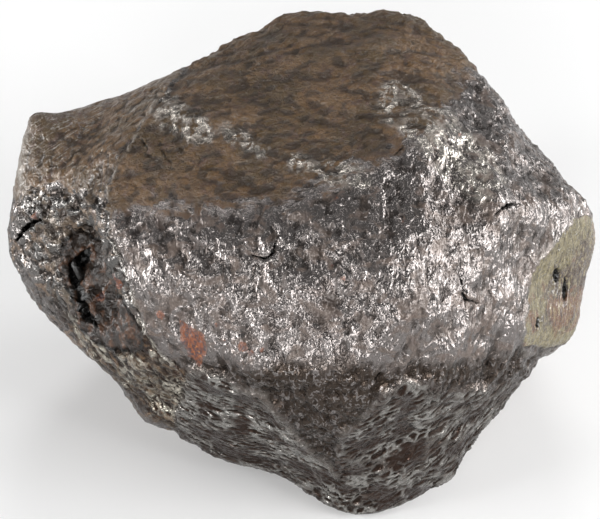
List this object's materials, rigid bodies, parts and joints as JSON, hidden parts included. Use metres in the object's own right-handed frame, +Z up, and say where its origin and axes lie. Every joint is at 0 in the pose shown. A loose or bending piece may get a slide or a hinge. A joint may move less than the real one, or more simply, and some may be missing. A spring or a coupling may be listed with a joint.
{
  "type": "iron meteorite",
  "caption": "Solid faceted lump of nickel-iron with softened ridges, thumb-shaped hollows, a deep side pit and a flat underside to rest on.",
  "frame": {"origin": "on the resting plane, under the middle of the stone's bounding box", "axes": "+Z up from the resting face, +X along the stone's length with the pitted end at -X, -Y towards the broad front"},
  "size_m": [0.1066, 0.0842, 0.0695],
  "materials": {
    "patina": "satin"
  },
  "bodies": {
    "root": {"meteorite": "patina"}
  },
  "joints": []
}
